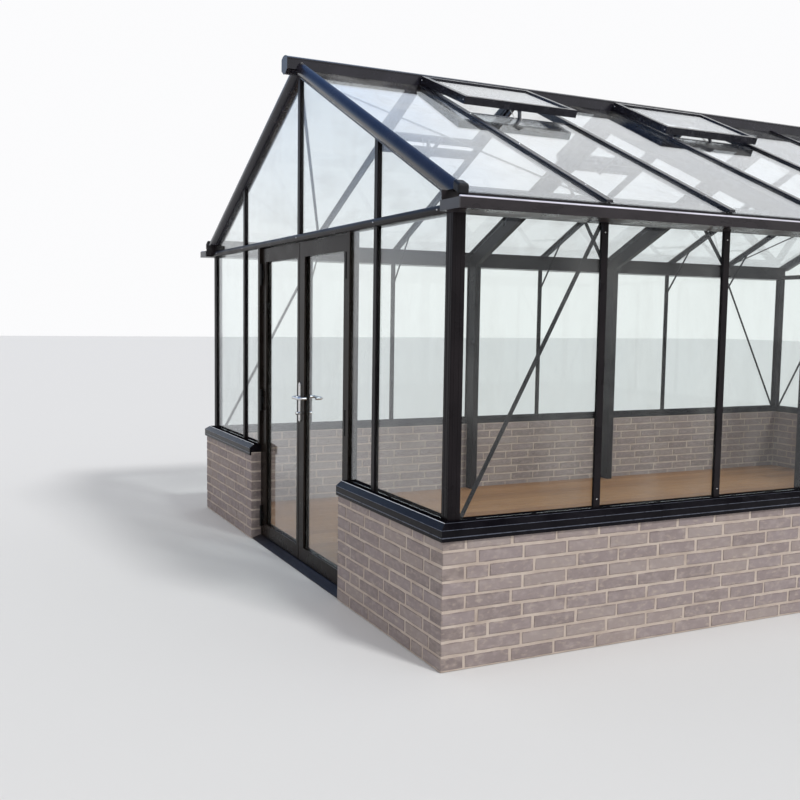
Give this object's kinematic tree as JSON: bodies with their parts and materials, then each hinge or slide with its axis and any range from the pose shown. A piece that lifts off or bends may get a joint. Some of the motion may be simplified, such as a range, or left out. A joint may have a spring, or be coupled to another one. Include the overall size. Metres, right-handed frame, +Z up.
{
  "type": "glass greenhouse",
  "caption": "Free-standing glass greenhouse with a dark metal frame on a low brick wall, a pitched glass roof with opening vents, box gutters and a double glazed door in one gable",
  "frame": {"origin": "on the ground, under the middle of the building's bounding box", "axes": "+Z up; +Y along the ridge, from the door gable to the back gable; +X square to the ridge, to the right of someone who looks in through the door"},
  "size_m": [4.186, 6.29, 3.0704],
  "materials": {
    "brick": null,
    "frame_paint": "satin near-black powder coat on aluminium",
    "gutter_paint": "satin near-black powder coat, a little paler on the end caps",
    "sill_paint": "satin near-black powder coat on the ribbed sill",
    "door_paint": "satin near-black powder coat on the door leaves and jambs",
    "vent_paint": "satin near-black powder coat on the roof vents",
    "brace_metal": "satin dark powder coat on flat braces",
    "hinge_black": "black coated steel hinges",
    "lever_steel": "polished to brushed steel door lever and plates",
    "threshold_aluminium": "mill-finish to dark anodised threshold ramp",
    "floor_boards": "warm brown floor boards",
    "wall_glass": "clear single wall glass",
    "roof_glass": "clear single roof glass with pale sky reflections",
    "door_glass": "clear door glass"
  },
  "bodies": {
    "house": {"back_brick_wall": "brick", "back_glass": "wall_glass", "back_sill": "sill_paint", "corner_posts": "frame_paint", "door_jambs": "door_paint", "eaves_beams": "frame_paint", "floor": "floor_boards", "front_brick_walls": "brick", "front_glass": "wall_glass", "front_sills": "sill_paint", "gable_beams": "frame_paint", "gable_head_mullions": "frame_paint", "gable_wall_mullions": "frame_paint", "gutter_ends": "gutter_paint", "jamb_hinges": "hinge_black", "knee_braces": "brace_metal", "left_gable_rafters": "frame_paint", "left_gutter": "gutter_paint", "left_roof_bars": "frame_paint", "left_roof_glass": "roof_glass", "portal_frames": "frame_paint", "ridge": "frame_paint", "ridge_ends": "frame_paint", "right_gable_rafters": "frame_paint", "right_gutter": "gutter_paint", "right_roof_bars": "frame_paint", "right_roof_glass": "roof_glass", "side_brick_walls": "brick", "side_mullions": "frame_paint", "side_sills": "sill_paint", "side_wall_glass": "wall_glass", "threshold": "threshold_aluminium", "vent_frames": "vent_paint", "vent_glass": "roof_glass", "vent_openers": "vent_paint", "vent_sills": "vent_paint", "wall_braces": "brace_metal"},
    "left_leaf": {"left_door_frame": "door_paint", "left_door_glass": "door_glass", "left_leaf_hinges": "hinge_black"},
    "right_leaf": {"right_door_frame": "door_paint", "right_door_glass": "door_glass", "right_leaf_hinges": "hinge_black", "lever_plates": "lever_steel"},
    "lever": {"door_lever": "lever_steel"}
  },
  "joints": [
    {"name": "left_door", "type": "hinge", "parent": "house", "child": "left_leaf", "pos_m": [-0.7435, -3.046, 1], "axis": [0, 0, -1], "range_deg": [0, 105]},
    {"name": "right_door", "type": "hinge", "parent": "house", "child": "right_leaf", "pos_m": [0.7435, -3.046, 1], "axis": [0, 0, 1], "range_deg": [0, 105]},
    {"name": "lever_turn", "type": "hinge", "parent": "right_leaf", "child": "lever", "pos_m": [0.003, -3.013, 1.045], "axis": [0, 1, 0], "range_deg": [0, 40], "stiffness_Nm_per_rad": 1.5, "springref_deg": -34.38}
  ]
}
